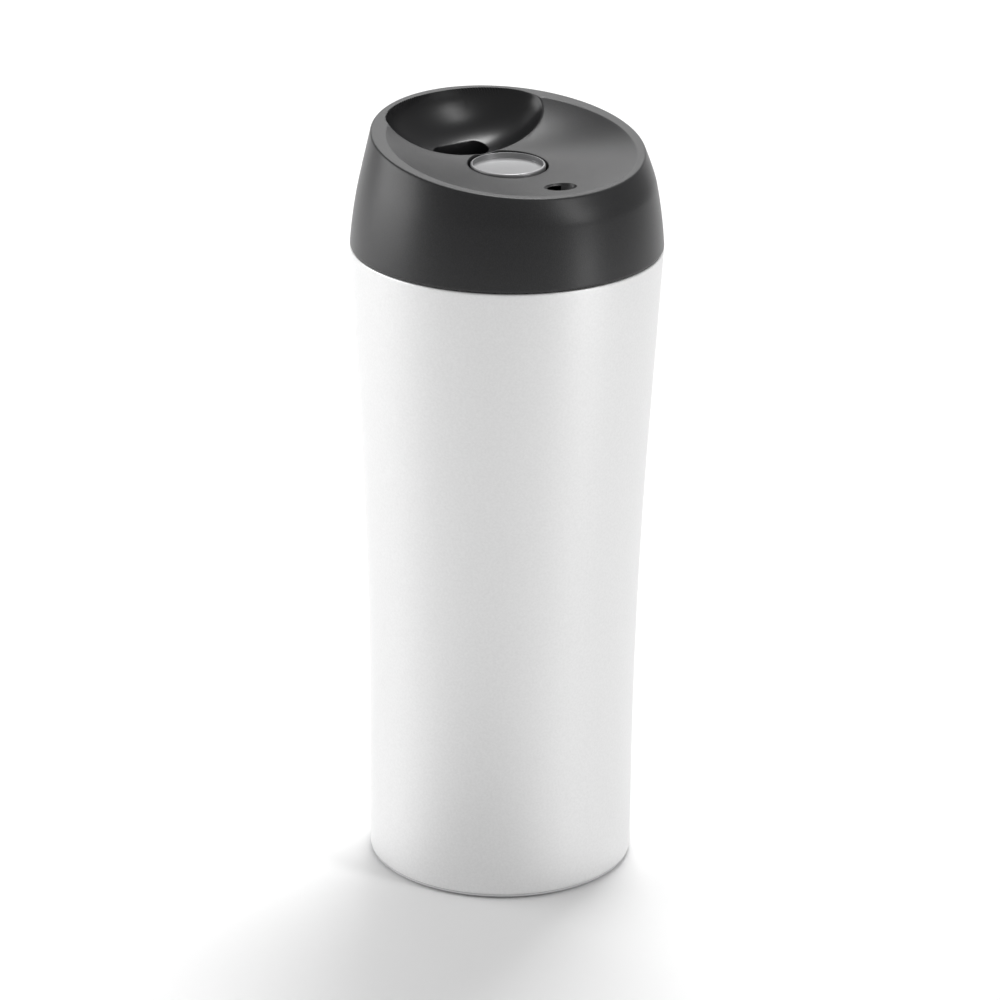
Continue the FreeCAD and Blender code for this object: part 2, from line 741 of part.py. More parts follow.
# ---------------------------------------------------------------- build, check and export
flask = [outer_shell(), inner_flask(), shell_bottom(), vacuum_seal(), getter(), base_cap(), foot_ring()]
lid = [
    lid_shell(),
    lid_plug(),
    soft_ring("lid_gasket", "mug.plug_radius + 0.1", "mug.skirt_bore - 0.5",
              "mug.body_height", "mug.flange_height"),
    chamber_seal(),
    seal_carrier(),
    soft_ring("stem_seal", "mug.stem_radius + 0.1", "mug.stem_seal_radius",
              "mug.well_bottom + mug.carrier_height - mug.stem_seal_height",
              "mug.well_bottom + mug.carrier_height"),
    spring_washer(),
    return_spring(),
    guide_sleeve(),
]
button = [
    button_cap(),
    button_plunger(),
    latch_rotor(),
    valve_stem(),
    valve_disc(),
    soft_ring("valve_seal", "mug.port_radius + 0.7", "mug.disc_radius - 0.6",
              "mug.seal_bottom", "mug.plug_floor"),
    valve_screw(),
]
doc.recompute()

for item in doc.Objects:
    if "Invalid" in item.State or "Error" in item.State:
        raise RuntimeError("%s did not build: %s" % (item.Label, item.State))

os.makedirs("parts", exist_ok=True)
for body in flask + lid + button:
    shape = body.Shape
    if shape.isNull() or not shape.isValid() or len(shape.Solids) != 1:
        raise RuntimeError("%s is not one valid solid" % body.Label)
    body.Placement = FreeCAD.Placement(ORIGIN, NO_TURN)
    body.Shape.exportStep("parts/%s.step" % body.Label)
    print("%-16s %9.1f mm3" % (body.Label, shape.Volume))
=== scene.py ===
import math

import bmesh
import bpy
import numpy as np
from mathutils import Matrix, Vector, geometry


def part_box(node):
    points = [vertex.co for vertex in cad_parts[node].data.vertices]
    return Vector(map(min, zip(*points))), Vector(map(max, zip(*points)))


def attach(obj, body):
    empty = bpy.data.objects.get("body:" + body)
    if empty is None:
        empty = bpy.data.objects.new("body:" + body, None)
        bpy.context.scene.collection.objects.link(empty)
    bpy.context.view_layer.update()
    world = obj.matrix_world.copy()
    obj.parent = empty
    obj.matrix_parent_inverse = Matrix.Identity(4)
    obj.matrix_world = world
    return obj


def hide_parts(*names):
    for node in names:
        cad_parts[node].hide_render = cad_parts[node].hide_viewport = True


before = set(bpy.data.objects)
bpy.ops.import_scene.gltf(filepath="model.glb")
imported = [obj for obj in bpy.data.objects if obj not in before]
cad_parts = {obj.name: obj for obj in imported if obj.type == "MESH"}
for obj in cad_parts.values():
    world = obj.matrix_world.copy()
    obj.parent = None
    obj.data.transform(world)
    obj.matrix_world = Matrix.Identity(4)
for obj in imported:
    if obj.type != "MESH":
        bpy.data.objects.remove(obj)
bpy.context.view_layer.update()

MM = 0.001
SPOKES = 256
FULL_TURN = 2 * math.pi


# ---------------------------------------------------------------- sizes in millimetres
def box_mm(node):
    """Lowest and highest corner of a CAD node."""
    low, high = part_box(node)
    return Vector(low) / MM, Vector(high) / MM


# flask
STEEL = 0.6
BODY_TOP = box_mm("outer_shell")[1].z
FOOT_EDGE = box_mm("outer_shell")[0].z + 0.2
BASE_RADIUS = box_mm("shell_bottom")[1].x + STEEL
MOUTH_RADIUS = box_mm("lid_shell")[1].y
SEAM_RADIUS = box_mm("inner_flask")[1].x
STRAIGHT_HEIGHT = 28.0
FLARE_HEIGHT = 92.0
FLARE_RADIUS = 1610.0
WALL_RINGS = 56

# base
GROOVE_INSIDE = 26.0
CAP_SKIRT = 1.2
PAD_GAP = 0.1

# lid underside: outer skirt, and the inner skirt that holds the plug
LID_BASE = BODY_TOP + 0.3
CEILING = 184.6
CEILING_RADIUS = 31.6
INNER_SKIRT_BORE = 33.6
INNER_SKIRT_RADIUS = 35.5
SKIRT_STEP = 174.1
SKIRT_GROOVE_TOP = 180.0
SKIRT_BORE = 37.4

# lid side and rim; the rim is a circle tilted about Y
LID_SHOULDER = 184.6
LID_SHOULDER_RADIUS = 37.9
SIDE_SLOPE = -0.067
LOWER_SIDE_RINGS = 16
UPPER_SIDE_RINGS = 15
RIM_HEIGHT = 195.9
RIM_TILT = math.radians(8)
RIM_LEAN = math.cos(RIM_TILT)
RIM_RADIUS = 34.9
RIM_EDGE = 0.5
RIM_EDGE_RINGS = 8

# lid top: flat land, dish and drinking bowl
LAND_RADIUS = 31.9
LAND_SHIFT = 1.6
LAND_CREASE = 0.12
PATCH_RADIUS = 33.8
DISH_FLOOR = 189.1
DISH_POWER = 2.3
BOWL_OFFSET = 18.9
BOWL_HEIGHT = 200.6
BOWL_RADII = (13.6, 23.2, 13.95)
BOWL_CREASE_BACK = 0.45
BOWL_CREASE_MORE = 0.5
BOWL_SPOKES = 176
BOWL_RINGS = 17

# openings: slot as (near end, far end, half width, corner), button well, vent with its passage
SLOT = (18.0, 24.9, 7.6, 3.2)
SLOT_EDGE = 0.25
CORNER_STEPS = 12
WELL_RADIUS = box_mm("seal_carrier")[1].x
WELL_BOTTOM = box_mm("seal_carrier")[0].z
WELL_WALL = 1.6
WELL_EDGE = 0.3
WELL_EDGE_FOOT = 188.0
VENT_OFFSET = 23.5
VENT_RADIUS = 4.0
VENT_EDGE = 0.2
VENT_TAPER = 0.45
VENT_SPOKES = 48
VENT_FLOOR = 187.5
PASSAGE_END = 16.5
PASSAGE_HALF = 2.0
PASSAGE_ROOF = 189.2

# button
BUTTON_RECESS = 1.3
BUTTON_FACE = 1.2
BUTTON_SPOKES = 128


# ---------------------------------------------------------------- mesh helpers
SHARP_ANGLE = math.radians(35)


class Shape:
    """Collects points and faces in millimetres and turns them into an object in metres."""

    def __init__(self):
        self.points = []
        self.faces = []
        self.slots = []

    def ring(self, points):
        """Add points and return their numbers."""
        first = len(self.points)
        self.points.extend(tuple(float(v) for v in p) for p in points)
        return list(range(first, len(self.points)))

    def face(self, numbers, slot=0):
        """Add one face with the material in that slot."""
        self.faces.append(tuple(numbers))
        self.slots.append(slot)

    def bridge(self, low, high, slot=0):
        """Quads between two closed rings of the same length."""
        count = len(low)
        for i in range(count):
            j = (i + 1) % count
            self.face((low[i], low[j], high[j], high[i]), slot)

    def stack(self, rings, slot=0):
        """Bridge each ring to the next."""
        for low, high in zip(rings, rings[1:]):
            self.bridge(low, high, slot)

    def build(self, name, materials):
        """Linked object in metres, smooth except at sharp edges, with normals outwards."""
        mesh = bpy.data.meshes.new(name)
        mesh.from_pydata([tuple(c * MM for c in p) for p in self.points], [], self.faces)
        for item in materials:
            mesh.materials.append(item)
        mesh.polygons.foreach_set("material_index", self.slots)
        mesh.polygons.foreach_set("use_smooth", [True] * len(self.faces))
        mesh.set_sharp_from_angle(angle=SHARP_ANGLE)
        mesh.validate()
        whole = bmesh.new()
        whole.from_mesh(mesh)
        bmesh.ops.recalc_face_normals(whole, faces=whole.faces)
        whole.to_mesh(mesh)
        whole.free()
        piece = bpy.data.objects.new(name, mesh)
        bpy.context.scene.collection.objects.link(piece)
        return piece


def circle_points(radius, z, count=SPOKES):
    """Level ring of points about the axis."""
    turns = [FULL_TURN * i / count for i in range(count)]
    return [(radius * math.cos(t), radius * math.sin(t), z) for t in turns]


def rounded(corners, steps=5):
    """Profile of (radius, height, fillet) corners with every fillet drawn as an arc."""
    out = []
    count = len(corners)
    for i, (x, y, fillet) in enumerate(corners):
        here = Vector((x, y))
        if fillet == 0:
            out.append((x, y))
            continue
        before = (Vector(corners[i - 1][:2]) - here).normalized()
        after = (Vector(corners[(i + 1) % count][:2]) - here).normalized()
        half = before.angle(after) / 2
        reach = fillet / math.tan(half)
        centre = here + (before + after).normalized() * fillet / math.sin(half)
        start = here + before * reach - centre
        end = here + after * reach - centre
        sweep = start.angle_signed(end)
        for step in range(steps + 1):
            spoke = start.copy()
            spoke.rotate(Matrix.Rotation(-sweep * step / steps, 2))
            out.append(tuple(centre + spoke))
    return out


def lathe(name, profile, materials, count=SPOKES, closed=True):
    """Turn a profile about the axis. A point on the axis becomes one vertex."""
    shape = Shape()
    rings = []
    for radius, z in profile:
        if radius < 1e-6:
            rings.append(shape.ring([(0, 0, z)]))
        else:
            rings.append(shape.ring(circle_points(radius, z, count)))
    pairs = list(zip(rings, rings[1:]))
    if closed:
        pairs.append((rings[-1], rings[0]))
    for low, high in pairs:
        if len(low) == 1 and len(high) == 1:
            continue
        if len(low) == 1:
            for i in range(count):
                shape.face((low[0], high[(i + 1) % count], high[i]))
        elif len(high) == 1:
            for i in range(count):
                shape.face((low[i], low[(i + 1) % count], high[0]))
        else:
            shape.bridge(low, high)
    return shape.build(name, materials)


# ---------------------------------------------------------------- materials
def new_material(name, colour, roughness, metallic=0.0, specular=0.5):
    """Plain material of one colour."""
    material = bpy.data.materials.new(name)
    material.use_nodes = True
    shader = material.node_tree.nodes["Principled BSDF"]
    shader.inputs["Base Color"].default_value = (*colour, 1)
    shader.inputs["Roughness"].default_value = roughness
    shader.inputs["Metallic"].default_value = metallic
    shader.inputs["Specular IOR Level"].default_value = specular
    return material


def grain(material, cell_mm, depth_mm, shade=0.0, rough=0.0, stretch=(1, 1, 1)):
    """Noise of one cell size that gives the surface relief, a little colour change and patchy gloss."""
    tree = material.node_tree
    nodes = tree.nodes
    links = tree.links
    shader = nodes["Principled BSDF"]
    where = nodes.new("ShaderNodeTexCoord")
    place = nodes.new("ShaderNodeMapping")
    place.inputs["Scale"].default_value = stretch
    noise = nodes.new("ShaderNodeTexNoise")
    noise.inputs["Scale"].default_value = 1 / (cell_mm * MM)
    noise.inputs["Detail"].default_value = 3.0
    links.new(where.outputs["Object"], place.inputs["Vector"])
    links.new(place.outputs["Vector"], noise.inputs["Vector"])
    bump = nodes.new("ShaderNodeBump")
    bump.inputs["Distance"].default_value = depth_mm * MM
    links.new(noise.outputs["Fac"], bump.inputs["Height"])
    links.new(bump.outputs["Normal"], shader.inputs["Normal"])
    if shade:
        colour = Vector(shader.inputs["Base Color"].default_value[:3])
        ramp = nodes.new("ShaderNodeValToRGB")
        ramp.color_ramp.elements[0].position = 0.3
        ramp.color_ramp.elements[1].position = 0.7
        ramp.color_ramp.elements[0].color = (*(colour * (1 - shade)), 1)
        ramp.color_ramp.elements[1].color = (*(colour * (1 + shade)), 1)
        links.new(noise.outputs["Fac"], ramp.inputs["Fac"])
        links.new(ramp.outputs["Color"], shader.inputs["Base Color"])
    if rough:
        middle = shader.inputs["Roughness"].default_value
        span = nodes.new("ShaderNodeMapRange")
        span.inputs["To Min"].default_value = middle - rough
        span.inputs["To Max"].default_value = middle + rough
        links.new(noise.outputs["Fac"], span.inputs["Value"])
        links.new(span.outputs["Result"], shader.inputs["Roughness"])
    return material


WHITE_COAT = grain(new_material("white_coat", (0.80, 0.80, 0.80), 0.4, 0.45),
                   0.6, 0.018, 0.03, 0.06)
STEEL_TURNED = grain(new_material("turned_steel", (0.62, 0.61, 0.60), 0.3, 1.0),
                     1.2, 0.01, 0.05, 0.08, (1, 1, 14))
LID_MATTE = grain(new_material("lid_matte", (0.021, 0.021, 0.022), 0.35, 0, 0.38),
                  0.3, 0.022, 0.2, 0.06)
LID_GLOSS = grain(new_material("bowl_gloss", (0.012, 0.012, 0.013), 0.31),
                  0.5, 0.0015, 0.05, 0.03)
PLUG_PLASTIC = grain(new_material("plug_plastic", (0.045, 0.045, 0.048), 0.38),
                     0.3, 0.006, 0.08, 0.04)
SILVER = grain(new_material("silver_button", (0.34, 0.34, 0.345), 0.38, 0.6),
               0.18, 0.003, 0.02, 0.04)
GREY_BASE = grain(new_material("grey_base", (0.62, 0.62, 0.63), 0.45), 0.3, 0.008, 0.05, 0.05)
SILICONE = grain(new_material("silicone", (0.035, 0.035, 0.036), 0.62), 0.4, 0.006, 0.08, 0.05)
PALE_PLASTIC = grain(new_material("pale_plastic", (0.70, 0.70, 0.67), 0.4), 0.4, 0.004, 0.02, 0.05)
BRASS = grain(new_material("brazed_bead", (0.60, 0.44, 0.2), 0.45, 1.0), 0.4, 0.02, 0.1, 0.1)
GETTER = grain(new_material("getter_metal", (0.35, 0.35, 0.36), 0.6, 0.8), 0.3, 0.02, 0.1, 0.1)

NODE_MATERIALS = {
    "inner_flask": STEEL_TURNED,
    "shell_bottom": STEEL_TURNED,
    "spring_washer": STEEL_TURNED,
    "return_spring": STEEL_TURNED,
    "valve_screw": STEEL_TURNED,
    "vacuum_seal": BRASS,
    "getter_pellet": GETTER,
    "lid_plug": PLUG_PLASTIC,
    "valve_disc": PLUG_PLASTIC,
    "lid_gasket": SILICONE,
    "chamber_seal": SILICONE,
    "stem_seal": SILICONE,
    "valve_seal": SILICONE,
    "seal_carrier": PALE_PLASTIC,
    "guide_sleeve": PALE_PLASTIC,
    "button_plunger": PALE_PLASTIC,
    "latch_rotor": PALE_PLASTIC,
    "valve_stem": PALE_PLASTIC,
}


def dress_nodes():
    """Give the CAD nodes that stay visible their materials."""
    for node, material in NODE_MATERIALS.items():
        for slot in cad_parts[node].material_slots:
            slot.material = material


# ---------------------------------------------------------------- flask
def wall_radius(z):
    """Outside radius of the flask: straight foot, long arc, straight flare."""
    if z <= STRAIGHT_HEIGHT:
        return BASE_RADIUS
    rise = min(z - STRAIGHT_HEIGHT, FLARE_HEIGHT)
    radius = BASE_RADIUS + rise ** 2 / (2 * FLARE_RADIUS)
    above = z - STRAIGHT_HEIGHT - FLARE_HEIGHT
    if above > 0:
        top = BODY_TOP - STRAIGHT_HEIGHT - FLARE_HEIGHT
        radius += (MOUTH_RADIUS - radius) * above / top
    return radius


def outer_shell():
    """Coated outside wall, with its rolled foot and the step at the mouth."""
    heights = np.linspace(FOOT_EDGE + 2, BODY_TOP - 1.5, WALL_RINGS)
    outside = [(wall_radius(z), z) for z in heights]
    inside = [(wall_radius(z) - STEEL, z) for z in reversed(heights)]
    foot = rounded([
        (BASE_RADIUS - STEEL, FOOT_EDGE + 1.5, 0),
        (BASE_RADIUS - STEEL - 0.1, FOOT_EDGE, 0.15),
        (BASE_RADIUS, FOOT_EDGE, 0.45),
        (BASE_RADIUS, FOOT_EDGE + 1.5, 0),
    ])
    mouth = rounded([
        (MOUTH_RADIUS - 0.06, BODY_TOP - 1, 0),
        (MOUTH_RADIUS, BODY_TOP, 0.4),
        (SEAM_RADIUS, BODY_TOP, 0),
        (SEAM_RADIUS, BODY_TOP - STEEL, 0),
        (MOUTH_RADIUS - STEEL - 0.1, BODY_TOP - STEEL, 0.1),
    ])
    piece = lathe("flask_wall", foot + outside + mouth + inside, [WHITE_COAT])
    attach(piece, "flask")
    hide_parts("outer_shell")


def base_parts():
    """Base cap with a groove underneath, and the soft ring in the groove."""
    cap_low, cap_high = box_mm("base_cap")
    ring_high = box_mm("foot_ring")[1]
    groove_outside = ring_high.x
    edge = cap_high.x
    cap = lathe("base_cover", rounded([
        (0, cap_low.z, 0),
        (GROOVE_INSIDE, cap_low.z, 0.3),
        (GROOVE_INSIDE, ring_high.z, 0),
        (groove_outside, ring_high.z, 0),
        (groove_outside, cap_low.z, 0.2),
        (edge, cap_low.z, 0.5),
        (edge, FOOT_EDGE, 0),
        (edge - CAP_SKIRT, FOOT_EDGE, 0),
        (edge - CAP_SKIRT, cap_high.z, 0.3),
        (0, cap_high.z, 0),
    ]), [GREY_BASE], closed=False)
    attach(cap, "flask")
    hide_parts("base_cap")
    ring = lathe("foot_pad", rounded([
        (GROOVE_INSIDE + PAD_GAP, 0, 0.3),
        (groove_outside - PAD_GAP, 0, 0.3),
        (groove_outside - PAD_GAP, ring_high.z, 0),
        (GROOVE_INSIDE + PAD_GAP, ring_high.z, 0),
    ]), [SILICONE])
    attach(ring, "flask")
    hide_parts("foot_ring")


# ---------------------------------------------------------------- lid top as a height over the plan
def soft_min(a, b, width):
    """Lower of two heights, with the crease between them rounded off."""
    near = np.clip((width - np.abs(a - b)) / width, 0, None)
    return np.minimum(a, b) - near ** 2 * width / 4


def land_height(x):
    """Height of the rim's tilted plane."""
    return RIM_HEIGHT + math.tan(RIM_TILT) * x


def lid_top(x, y):
    """Flat slanted land outside, smooth dish inside it, before the bowl is cut."""
    along = x / RIM_LEAN + LAND_SHIFT
    reach = np.hypot(along, y) + 1e-9
    edge_height = land_height((along * LAND_RADIUS / reach - LAND_SHIFT) * RIM_LEAN)
    share = np.minimum(reach / LAND_RADIUS, 1.2)
    dish = DISH_FLOOR + (edge_height - DISH_FLOOR) * share ** DISH_POWER
    return soft_min(land_height(x), dish, LAND_CREASE)


def bowl_share(x, y):
    """0 at the bowl's centre, 1 on the outline of its ellipsoid in plan."""
    return np.hypot((x - BOWL_OFFSET) / BOWL_RADII[0], y / BOWL_RADII[1])


def bowl_height(share):
    """Ellipsoid's underside, and well above the lid outside its outline."""
    inside = BOWL_HEIGHT - BOWL_RADII[2] * np.sqrt(np.clip(1 - share ** 2, 0, None))
    return np.where(share < 1, inside, BOWL_HEIGHT + 5)


def lid_height(x, y):
    """Finished top: the bowl cut into the lid's top, its crease softest at the drinking side."""
    x = np.asarray(x, float)
    y = np.asarray(y, float)
    forward = np.clip((x - BOWL_OFFSET) / BOWL_RADII[0], 0, 1)
    crease = BOWL_CREASE_BACK + BOWL_CREASE_MORE * forward
    return soft_min(lid_top(x, y), bowl_height(bowl_share(x, y)), crease)


def bowl_point(turn, share):
    """Plan point on a scaled copy of the bowl's outline."""
    return (BOWL_OFFSET + BOWL_RADII[0] * share * np.cos(turn),
            BOWL_RADII[1] * share * np.sin(turn))


def bowl_turn(x, y):
    """Turn at which bowl_point passes through a plan point, from 0 to a full turn."""
    return np.arctan2(y / BOWL_RADII[1], (x - BOWL_OFFSET) / BOWL_RADII[0]) % FULL_TURN


def around(turn, turns, values):
    """Value at any turn from values at even turns, closed end to end."""
    return np.interp(turn, np.append(turns, FULL_TURN), np.append(values, values[0]))


def even_turns(count):
    """Turns from 0, evenly spaced, without the full turn itself."""
    return np.linspace(0, FULL_TURN, count, endpoint=False)


def bowl_lip(turns):
    """Share at which the bowl meets the lid's top, found by halving."""
    low = np.zeros_like(turns)
    high = np.ones_like(turns)
    for _ in range(40):
        middle = (low + high) / 2
        below = bowl_height(middle) < lid_top(*bowl_point(turns, middle))
        low = np.where(below, middle, low)
        high = np.where(below, high, middle)
    return (low + high) / 2


def rounded_box(low_x, high_x, half_y, corner, grow):
    """Rounded rectangle in plan, counter-clockwise, grown outwards."""
    corner = corner + grow
    centres = [(high_x + grow - corner, half_y + grow - corner, 0),
               (low_x - grow + corner, half_y + grow - corner, 90),
               (low_x - grow + corner, -half_y - grow + corner, 180),
               (high_x + grow - corner, -half_y - grow + corner, 270)]
    out = []
    for x, y, first in centres:
        for step in range(CORNER_STEPS + 1):
            turn = math.radians(first + 90 * step / CORNER_STEPS)
            out.append((x + corner * math.cos(turn), y + corner * math.sin(turn)))
    return out


def spread(loop, spacing):
    """Points at even spacing along a closed loop."""
    loop = np.array(loop)
    closed = np.vstack([loop, loop[:1]])
    steps = np.diff(closed, axis=0)
    along = np.concatenate([[0], np.cumsum(np.hypot(steps[:, 0], steps[:, 1]))])
    count = max(8, round(along[-1] / spacing))
    wanted = np.linspace(0, along[-1], count, endpoint=False)
    return [(np.interp(w, along, closed[:, 0]), np.interp(w, along, closed[:, 1])) for w in wanted]


def vent_loop(grow):
    """Vent's outline in plan, grown outwards."""
    radius = VENT_RADIUS + grow
    return [(-VENT_OFFSET + radius * math.cos(t), radius * math.sin(t))
            for t in even_turns(VENT_SPOKES)]


def slot_loop(grow):
    """Slot's outline in plan, grown outwards."""
    return rounded_box(*SLOT, grow)


def inside_loop(points, loop):
    """Which points lie inside a closed loop."""
    points = np.asarray(points)
    loop = np.asarray(loop)
    hit = np.zeros(len(points), bool)
    for (x0, y0), (x1, y1) in zip(loop, np.roll(loop, -1, axis=0)):
        crosses = (y0 > points[:, 1]) != (y1 > points[:, 1])
        with np.errstate(divide="ignore", invalid="ignore"):
            at = x0 + (points[:, 1] - y0) * (x1 - x0) / (y1 - y0)
        hit ^= crosses & (points[:, 0] < at)
    return hit


def fill_plan(shape, loops, free=(), height=None, slot_of=None):
    """Triangles between an outer loop and holes, given as lists of point numbers, through free points
    whose heights come from the height function."""
    flat, numbers, edges = [], [], []
    for loop in loops:
        first = len(flat)
        flat += [(shape.points[n][0], shape.points[n][1]) for n in loop]
        numbers += loop
        edges += [(first + i, first + (i + 1) % len(loop)) for i in range(len(loop))]
    if len(free):
        heights = height(free[:, 0], free[:, 1])
        numbers += shape.ring(np.column_stack([free, heights]))
        flat += [tuple(p) for p in free]
    result = geometry.delaunay_2d_cdt([Vector(p) for p in flat], edges, [], 0, 1e-5)
    plan, faces, sources = np.array([tuple(p) for p in result[0]]), result[2], result[3]
    centres = np.array([plan[list(face)].mean(axis=0) for face in faces])
    outline = [[shape.points[n][:2] for n in loop] for loop in loops]
    keep = inside_loop(centres, outline[0])
    for hole in outline[1:]:
        keep &= ~inside_loop(centres, hole)
    for face, centre, wanted in zip(faces, centres, keep):
        if wanted:
            slot = slot_of(centre) if slot_of else 0
            shape.face([numbers[sources[v][0]] for v in face], slot)


def vent_passage(shape, rim):
    """Lower half of the vent: round wall to its floor, open towards the middle where a passage leads
    down to the chamber. The rim starts at +X and runs counter-clockwise. Returns the passage's
    outline at the ceiling."""
    count = len(rim)
    open_half = math.asin(PASSAGE_HALF / (VENT_RADIUS - VENT_TAPER))
    first = round(open_half / FULL_TURN * count)
    last = count - first
    solid = rim[first:last + 1]
    mouth = rim[last:] + rim[:first + 1]

    # solid part of the wall, leaning in to its rounded foot (inward, above the floor), and the floor
    foot = ((1.2, 0.5), (1.4, 0.2), (1.7, 0.05), (2.1, 0))
    centre = Vector((-VENT_OFFSET, 0))
    rings = [solid]
    for inward, above_floor in foot:
        points = []
        for n in solid:
            out = Vector(shape.points[n][:2]) - centre
            points.append((*(centre + out * (1 - inward / VENT_RADIUS)), VENT_FLOOR + above_floor))
        rings.append(shape.ring(points))
    for upper, lower in zip(rings, rings[1:]):
        for i in range(len(solid) - 1):
            shape.face((upper[i], upper[i + 1], lower[i + 1], lower[i]))
    shape.face(list(reversed(rings[-1])))

    # passage from its mouth to the far end: roof, drop below the floor, two sides, end
    left_y, right_y = shape.points[solid[0]][1], shape.points[solid[-1]][1]
    far_left = (-PASSAGE_END, left_y)
    far_right = (-PASSAGE_END, right_y)
    roof_right, roof_left = shape.ring([(*far_right, PASSAGE_ROOF), (*far_left, PASSAGE_ROOF)])
    shape.face(mouth + [roof_left, roof_right], 1)
    foot_left, foot_right = rings[-1][0], rings[-1][-1]
    low = shape.ring([(shape.points[foot_left][0], left_y, CEILING),
                      (shape.points[foot_right][0], right_y, CEILING),
                      (*far_right, CEILING), (*far_left, CEILING)])
    shape.face([foot_left, foot_right, low[1], low[0]], 1)
    left_edge = [ring[0] for ring in rings]
    right_edge = [ring[-1] for ring in rings]
    shape.face(left_edge + [low[0], low[3], roof_left], 1)
    shape.face([roof_right, low[2], low[1]] + right_edge[::-1], 1)
    shape.face([roof_left, low[3], low[2], roof_right], 1)
    return low


def lid_underside():
    """Profile from the ceiling's edge round the skirts to the foot of the side."""
    return rounded([
        (CEILING_RADIUS, CEILING, 0),
        (INNER_SKIRT_BORE, CEILING - 2, 0),
        (INNER_SKIRT_BORE, SKIRT_STEP, 0.2),
        (INNER_SKIRT_RADIUS, SKIRT_STEP, 0.2),
        (INNER_SKIRT_RADIUS, SKIRT_GROOVE_TOP, 0.3),
        (SKIRT_BORE - 1, SKIRT_GROOVE_TOP, 0.3),
        (SKIRT_BORE - 0.4, SKIRT_STEP, 0),
        (SKIRT_BORE, SKIRT_STEP, 0),
        (SKIRT_BORE, LID_BASE, 0.15),
        (MOUTH_RADIUS, LID_BASE, 0.35),
        (MOUTH_RADIUS - 0.05, LID_BASE + 0.8, 0),
    ], 4)


def on_rim_plane(radius, cosine, sine):
    """Circle on the rim's tilted plane."""
    return np.column_stack([radius * RIM_LEAN * cosine, radius * sine,
                            RIM_HEIGHT + radius * math.sin(RIM_TILT) * cosine])


def lid_side(shape):
    """Underside, side and rim in one stack of rings. Returns its first and last ring."""
    turns = even_turns(SPOKES)
    cosine = np.cos(turns)
    sine = np.sin(turns)
    rings = [shape.ring(circle_points(radius, z)) for radius, z in lid_underside()]

    # one curve up to the shoulder, then a curve on to the slanted rim
    height = LID_SHOULDER - LID_BASE
    bend = (LID_SHOULDER_RADIUS - MOUTH_RADIUS - SIDE_SLOPE * height) / height ** 2
    for z in np.linspace(LID_BASE + 1.2, LID_SHOULDER, LOWER_SIDE_RINGS):
        rise = z - LID_BASE
        radius = MOUTH_RADIUS + SIDE_SLOPE * rise + bend * rise ** 2
        rings.append(shape.ring(circle_points(radius, z)))
    start_slope = SIDE_SLOPE + 2 * bend * height
    rim_z = RIM_HEIGHT + RIM_RADIUS * math.sin(RIM_TILT) * cosine
    mean_slope = (RIM_RADIUS - LID_SHOULDER_RADIUS) / (rim_z - LID_SHOULDER)
    end_slope = 1.5 * mean_slope - 0.5 * start_slope
    span = rim_z - LID_SHOULDER

    def side_point(share):
        """Point of the upper side for every spoke; share runs from shoulder to rim."""
        a, b = share, 1 - share
        radius = (LID_SHOULDER_RADIUS * b * b * (1 + 2 * a) + RIM_RADIUS * a * a * (1 + 2 * b)
                  + start_slope * span * a * b * b - end_slope * span * a * a * b)
        z = LID_SHOULDER + span * a
        squeeze = 1 - (1 - RIM_LEAN) * a
        return np.column_stack([radius * squeeze * cosine, radius * sine, z])

    stop = 1 - RIM_EDGE / span
    for share in np.linspace(0, 1, UPPER_SIDE_RINGS)[1:]:
        rings.append(shape.ring(side_point(stop * share)))

    # rounded rim edge and the strip of land outside the filled top
    below = side_point(stop)
    corner = side_point(np.ones(SPOKES))
    landing = on_rim_plane(RIM_RADIUS - RIM_EDGE, cosine, sine)
    for t in np.linspace(0, 1, RIM_EDGE_RINGS)[1:]:
        rings.append(shape.ring(below * (1 - t) ** 2 + corner * 2 * t * (1 - t) + landing * t * t))
    rings.append(shape.ring(on_rim_plane(PATCH_RADIUS, cosine, sine)))
    shape.stack(rings)
    return rings[0], rings[-1]


def hole_wall(shape, loop_at, soft_edge, arc, stops, slot):
    """Wall of an opening in the top: soft edge, then down to each stop. loop_at(grow) is the outline;
    arc lists shares of the edge's quarter circle; stops are (grow, height). Returns its rings."""
    top = loop_at(soft_edge)
    edge_z = lid_height([p[0] for p in top], [p[1] for p in top])
    rings = [shape.ring([(x, y, z) for (x, y), z in zip(top, edge_z)])]
    for share in arc:
        loop = loop_at(soft_edge * (1 - math.sin(share * math.pi / 2)))
        fall = soft_edge * (1 - math.cos(share * math.pi / 2))
        rings.append(shape.ring([(x, y, z - fall) for (x, y), z in zip(loop, edge_z)]))
    for grow, height in stops:
        rings.append(shape.ring([(x, y, height) for x, y in loop_at(grow)]))
    shape.stack(rings, slot)
    return rings


def well_loop(grow):
    """Button well's outline in plan, grown outwards."""
    return [(x, y) for x, y, _ in circle_points(WELL_RADIUS + grow, 0)]


def bowl_plan(lip_turns, lip_share, reach):
    """Plan points inside and along the bowl: rows beside its lip, then rings down to its middle."""
    rows = []
    for offset in (-0.5, -0.3, -0.15, -0.05, 0.05, 0.15, 0.3, 0.6):
        share = np.minimum(lip_share + offset / reach, 1.06)
        rows.append(np.column_stack(bowl_point(lip_turns, share)))
    lift = np.arcsin(lip_share)
    for step in np.linspace(0, 1, BOWL_RINGS)[1:-1]:
        share = np.sin(lift * (1 - step)) - 0.8 / reach * (1 - step)
        rows.append(np.column_stack(bowl_point(lip_turns, share)))
    points = np.vstack(rows)
    return points[~inside_loop(points, slot_loop(0.7))]


